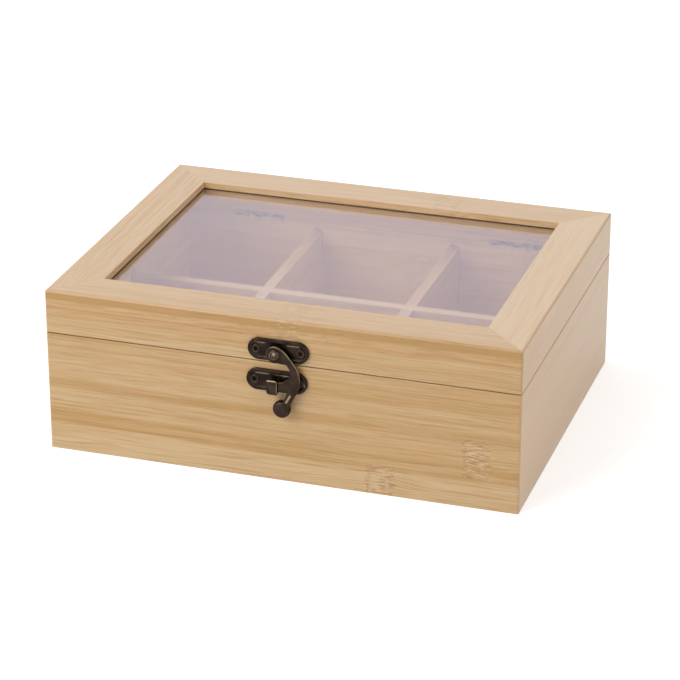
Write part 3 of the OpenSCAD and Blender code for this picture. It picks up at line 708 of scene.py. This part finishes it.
newPiece(
    "latchPlate", [plateShell(plates["upper"]), (spun(bossProfile, -0.5, 61.1), True, False)],
    antiqueBronze, "lid", ["latch_plate"], edges=0.10,
    # painted reflections: light bars along the inner side of the upper rim
    streaks=[(0.55, -9.6, 65.25, -6.0, 65.25, 0.5), (0.75, 4.4, 65.25, 9.8, 65.25, 0.55)],
)
newPiece(
    "catchPlate", [plateShell(plates["lower"]), tongueShell(tongue)],
    antiqueBronze, "base", ["catch_plate"], edges=0.10,
    # painted highlights: a bar along the upper rim, an arc at the right end, and the tongue's top and right edges
    streaks=[
        (0.55, -10.0, 50.9, -4.0, 50.9, 0.55), (0.80, -1.0, 50.85, 6.0, 50.85, 0.6),
        (0.45, 11.0, 50.3, 12.3, 47.2, 0.5),
        (0.03, -2.6, 47.6, -0.6, 45.4, 3.0), (0.50, -3.6, 49.2, 0.8, 49.2, 0.45),
        (0.42, 0.9, 49.0, 0.9, 43.8, 0.35),
    ],
)

# screws: a pan head with a dished face and a cross recess; the shank ends in a point
screwHead = {"radius": 2.1, "foot": 0.9, "height": 0.65, "dish": 0.20, "slotLong": 1.30, "slotHalf": 0.30, "deep": 0.42}


def screwShell(x, z, turned, s=screwHead):
    ring = np.linspace(0, 1, 46) ** 0.8 * s["radius"]
    crown = s["foot"] + s["height"] * np.sqrt(np.clip(1 - (ring / s["radius"]) ** 5, 0, 1))
    dished = s["dish"] * (1 - smooth(ring, 1.15, 1.60))
    head = np.column_stack([ring, crown - dished])
    shank = softened([(s["radius"], s["foot"], 0), (1.0, s["foot"], 0), (1.0, -3.6, 0), (0.25, -5.6, 0), (0, -5.6, 0)])
    grid = spun(np.vstack([head, shank]), x, z, 96)
    # the recess: two crossed slots with sloping flanks, deepest in the middle
    east = (grid[..., 0] - x) * math.cos(turned) + (grid[..., 2] - z) * math.sin(turned)
    north = (grid[..., 2] - z) * math.cos(turned) - (grid[..., 0] - x) * math.sin(turned)
    reach = np.hypot(east, north)
    arms = np.minimum(np.abs(east), np.abs(north))
    cut = (1 - smooth(arms, s["slotHalf"] * 0.55, s["slotHalf"] * 1.25)) * (1 - smooth(reach, 1.05, s["slotLong"]))
    cut = cut * s["deep"] * (1 - 0.35 * reach / s["slotLong"])
    grid[:, :len(ring), 1] -= cut[:, :len(ring)]
    return (grid, True, False)


newPiece(
    "latchScrews", [screwShell(-9.5, 62.1, 0.15), screwShell(10.5, 62.1, 0.52)],
    antiqueBronze, "lid", ["latch_screws"], edges=0.22,
    # painted shade: the middle of each head is darkened towards black over the cross recess
    streaks=[(-1.2, x, 62.1, x, 62.1, 1.25) for x in (-9.5, 10.5)],
)
newPiece(
    "catchScrews", [screwShell(-10.3, 47.8, 0.30), screwShell(9.7, 47.8, -0.20)],
    antiqueBronze, "base", ["catch_screws"], edges=0.22,
    # painted shade: the middle of each head is darkened towards black over the cross recess
    streaks=[(-1.2, x, 47.8, x, 47.8, 1.25) for x in (-10.3, 9.7)],
)

# the rivet: tail, shank, and a domed head with a ring groove round its button
rivetProfile = softened([
    (0, -0.5, 0), (1.7, -0.5, 0), (1.7, 0, 0), (1.2, 0, 0), (1.2, 3.65, 0), (2.4, 3.65, 0.08), (2.4, 4.0, 0.15),
    (1.75, 4.62, 0.2), (1.42, 4.34, 0.12), (1.12, 4.62, 0.12), (0.75, 4.93, 0.25), (0, 4.95, 0),
])
newPiece(
    "latchRivet", [(spun(rivetProfile, -0.5, 61.1), True, False)],
    antiqueBronze, "lid", ["latch_rivet"], edges=0.30, base=0.05,
    # painted highlight on the upper side of the dome
    streaks=[(0.75, -0.2, 61.8, -0.1, 62.2, 0.9)],
)

# the arm: pairs of points (x, z) on its outer and inner edge, from the eye down to the ball
arm = {
    "outer": [
        (1.4, 64.5), (3.1, 63.5), (4.7, 62.1), (6.4, 60.1), (8.0, 58.0), (9.4, 55.9), (10.4, 53.3),
        (11.0, 50.4), (10.95, 47.7), (10.2, 45.5), (8.7, 42.8), (7.4, 40.1), (6.1, 37.8),
    ],
    "inner": [
        (1.4, 57.5), (2.9, 57.0), (4.3, 56.95), (5.2, 56.4), (5.9, 55.3), (6.3, 54.1), (6.55, 52.3),
        (6.65, 50.2), (6.5, 48.2), (6.1, 46.4), (5.3, 44.4), (4.3, 41.9), (3.0, 39.6),
    ],
    "middle": 2.7, "half": 0.9, "ballOut": 0.7, "neckHalf": 1.5,
    "eye": (-0.5, 61.1), "eyeRadius": 3.9, "hole": 1.3,
    "ball": (2.77, 36.3), "ballRadius": 3.95, "ballHalf": 2.3,
    "spurTop": [(7.4, 52.6), (5.6, 50.7), (4.0, 49.5), (2.4, 48.6), (0.4, 48.3), (-2.3, 48.2)],
    "spurFoot": [(7.4, 43.6), (5.6, 44.0), (4.0, 44.1), (2.4, 44.2), (0.4, 44.2), (-2.3, 44.3)],
}


def ruled(edgeA, edgeB, middle, half, power):
    # a band between two edge curves (x, z): a superellipse as wide as they are apart, at depth middle
    a, b = through(edgeA), through(edgeB)
    where = np.linspace(0, 1, len(a))
    gap = a - b
    wide = np.hypot(gap[:, 0], gap[:, 1]) / 2
    centre = np.column_stack([(a + b)[:, 0] / 2, middle(where), (a + b)[:, 1] / 2])
    side = np.column_stack([gap[:, 0], 0 * wide, gap[:, 1]]) / (2 * wide[:, None])
    rise = np.tile([0, 1.0, 0], (len(a), 1))
    return (swept(centre, side, rise, wide, half(where), power(where)), False, True)


def armShells(s):
    lip = s["middle"] + s["half"]
    foot = s["middle"] - s["half"]
    ring = softened([
        (s["hole"], foot, 0), (s["hole"], lip, 0), (s["eyeRadius"], lip, 0.45), (s["eyeRadius"], foot, 0.2),
        (s["hole"] + 0.01, foot, 0),
    ])
    grow = lambda t: smooth(t, 0.70, 0.98)
    band = ruled(
        s["outer"], s["inner"],
        lambda t: s["middle"] + s["ballOut"] * grow(t),
        lambda t: s["half"] + (s["neckHalf"] - s["half"]) * grow(t),
        lambda t: 0.45 + 0.5 * grow(t),
    )
    spur = ruled(
        s["spurTop"], s["spurFoot"],
        lambda t: s["middle"] + 0 * t, lambda t: s["half"] - 0.03 + 0 * t, lambda t: 0.4 + 0 * t,
    )
    # the ball: radius * cos^0.65 of the latitude, half its thickness * sin^0.65
    up = np.linspace(-0.5 * np.pi, 0.5 * np.pi, 41)
    ballLine = np.column_stack([
        s["ballRadius"] * np.abs(np.cos(up)) ** 0.65,
        s["middle"] + s["ballOut"] + s["ballHalf"] * np.sign(up) * np.abs(np.sin(up)) ** 0.65,
    ])
    ballLine[[0, -1], 0] = 0
    return [
        (spun(ring, *s["eye"]), True, True), band, spur, (spun(ballLine, *s["ball"]), True, False),
    ]


# painted highlights along the outer edge and down the left side of the neck
outerEdge = [(-2.6, 64.2), (-0.5, 65.0)] + arm["outer"][:9]
outerShine = [0.30, 0.50, 0.55, 0.55, 0.55, 0.55, 0.50, 0.40, 0.25, 0.12]
newPiece(
    "latchArm", armShells(arm), antiqueBronze, "latch_arm", ["latch_arm"],
    edges=0.14, base=0.012, cast={"cell": 0.16, "passes": 6},
    streaks=[
        (shine, *start, *stop, 0.45) for shine, start, stop in zip(outerShine, outerEdge, outerEdge[1:])
    ] + [(0.62, 6.7, 43.0, 5.2, 40.2, 0.75)],
)
print("latch ready")

# hinges: zinc plate with a faint grain, their sharp edges broken by a small bevel

zinc = {"light": (0.47, 0.51, 0.56), "dull": (0.12, 0.13, 0.15), "roughness": 0.34, "bevel": 0.06}


def zincMaterial(s):
    mat, tree, shader = newMaterial("zincPlate", Metallic=1.0)
    coords = put(tree, "ShaderNodeTexCoord").outputs["Object"]
    point = put(tree, "ShaderNodeVectorMath", {0: coords, "Scale": 1 / mm}, operation="SCALE").outputs[0]
    cloud = stretched(tree, point, (3.2, 3.2, 3.2), 2.0, 3.0, 0.6)
    brushed = stretched(tree, point, (6, 0.25, 0.25), 6.0, 2.0)
    color = blend(tree, ease(tree, cloud, 0.40, 0.62), (*s["dull"], 1), (*s["light"], 1))
    tree.links.new(color, shader.inputs["Base Color"])
    sheen = calc(tree, "MULTIPLY_ADD", brushed, 0.20, s["roughness"] - 0.10)
    tree.links.new(sheen, shader.inputs["Roughness"])
    bump = put(tree, "ShaderNodeBump", {"Strength": 0.15, "Distance": 0.05 * mm, "Height": brushed})
    tree.links.new(bump.outputs[0], shader.inputs["Normal"])
    return mat


hingeNodes = [name for name in cadNodes if name.startswith("hinge")]
dress(hingeNodes, zincMaterial(zinc))
for hingeNode in hingeNodes:
    eased = cadNodes[hingeNode].modifiers.new("eased", "BEVEL")
    eased.width = zinc["bevel"] * mm
    eased.segments = 2
    eased.limit_method = "ANGLE"
    eased.angle_limit = math.radians(40)
print("hinges ready")


# studio

studio = {
    "floorColor": (0.92, 0.92, 0.93, 1),
    "floorLift": 0.53,
    "floorRadius": 6.0,
    "worldStrength": 0.37,
    "key": dict(at=(-0.85, -1.15, 0.95), size=1.2, watts=13.5),
    "side": dict(at=(1.40, -0.30, 0.70), size=1.4, watts=6.1),
    "top": dict(at=(-0.80, -0.05, 1.35), size=1.1, watts=4.5),
    "back": dict(at=(-0.65, 2.00, 0.95), size=2.0, watts=5.0),
}


def seenStraight(tree):
    # 1 where the camera looks, in a mirror or through the pane too, and 0 for light that a matt surface gathers
    path = put(tree, "ShaderNodeLightPath").outputs
    seen = calc(tree, "MAXIMUM", path["Is Camera Ray"], path["Is Glossy Ray"])
    seen = calc(tree, "MAXIMUM", seen, path["Is Transmission Ray"])
    return calc(tree, "MULTIPLY", seen, calc(tree, "LESS_THAN", path["Diffuse Depth"], 0.5))


def studioWorld(s):
    world = bpy.data.worlds.new("studio")
    bpy.context.scene.world = world
    world.use_nodes = True
    tree = world.node_tree
    seen = seenStraight(tree)
    strength = calc(tree, "MULTIPLY_ADD", seen, 1.0 - s["worldStrength"], s["worldStrength"])
    back = tree.nodes["Background"]
    back.inputs["Color"].default_value = (1, 1, 1, 1)
    tree.links.new(strength, back.inputs["Strength"])


def studioFloor(s):
    turns = np.linspace(0, 2 * np.pi, 97)[:-1]
    rim = np.column_stack([s["floorRadius"] * np.cos(turns), s["floorRadius"] * np.sin(turns), 0 * turns])
    mesh = bpy.data.meshes.new("floor")
    mesh.from_pydata(rim.tolist(), [], [list(range(len(rim)))])
    floor = bpy.data.objects.new("floor", mesh)
    bpy.context.scene.collection.objects.link(floor)
    mat, tree, shader = newMaterial("floorPaper", Roughness=0.9)
    shader.inputs["Base Color"].default_value = s["floorColor"]
    lift = calc(tree, "MULTIPLY", seenStraight(tree), s["floorLift"])
    glow = put(tree, "ShaderNodeEmission", {"Color": (1, 1, 1, 1), "Strength": lift})
    lit = put(tree, "ShaderNodeAddShader", {0: shader.outputs[0], 1: glow.outputs[0]})
    # from below the floor isn't there, so that the underside can be seen
    back = put(tree, "ShaderNodeNewGeometry").outputs["Backfacing"]
    clear = put(tree, "ShaderNodeBsdfTransparent")
    sided = put(tree, "ShaderNodeMixShader", {0: back, 1: lit.outputs[0], 2: clear.outputs[0]})
    tree.links.new(sided.outputs[0], tree.nodes["Material Output"].inputs["Surface"])
    mesh.materials.append(mat)


def softbox(name, at, size, watts, aim=(0, 0, 0.04)):
    data = bpy.data.lights.new(name, "AREA")
    data.shape = "DISK"
    data.size = size
    data.energy = watts
    lamp = bpy.data.objects.new(name, data)
    bpy.context.scene.collection.objects.link(lamp)
    lamp.location = at
    away = np.array(at) - np.array(aim)
    lamp.rotation_euler = (math.atan2(np.hypot(away[0], away[1]), away[2]), 0, math.atan2(away[0], -away[1]))


studioWorld(studio)
studioFloor(studio)
for lampName in ("key", "side", "top", "back"):
    softbox(lampName, **studio[lampName])

camera = {"at": (0.3598, -1.1174, 0.5531), "turn": 17.79, "dip": 23.95, "focalPx": 2811.9, "framePx": 680}
view = bpy.data.cameras.new("camera")
view.sensor_width = 36.0
view.lens = camera["focalPx"] * view.sensor_width / camera["framePx"]
eye = bpy.data.objects.new("camera", view)
bpy.context.scene.collection.objects.link(eye)
eye.location = camera["at"]
eye.rotation_euler = (math.radians(90 - camera["dip"]), 0, math.radians(camera["turn"]))
view.clip_start, view.clip_end = 0.01, 30
bpy.context.scene.camera = eye
bpy.context.scene.view_settings.view_transform = "Standard"
print("studio ready")
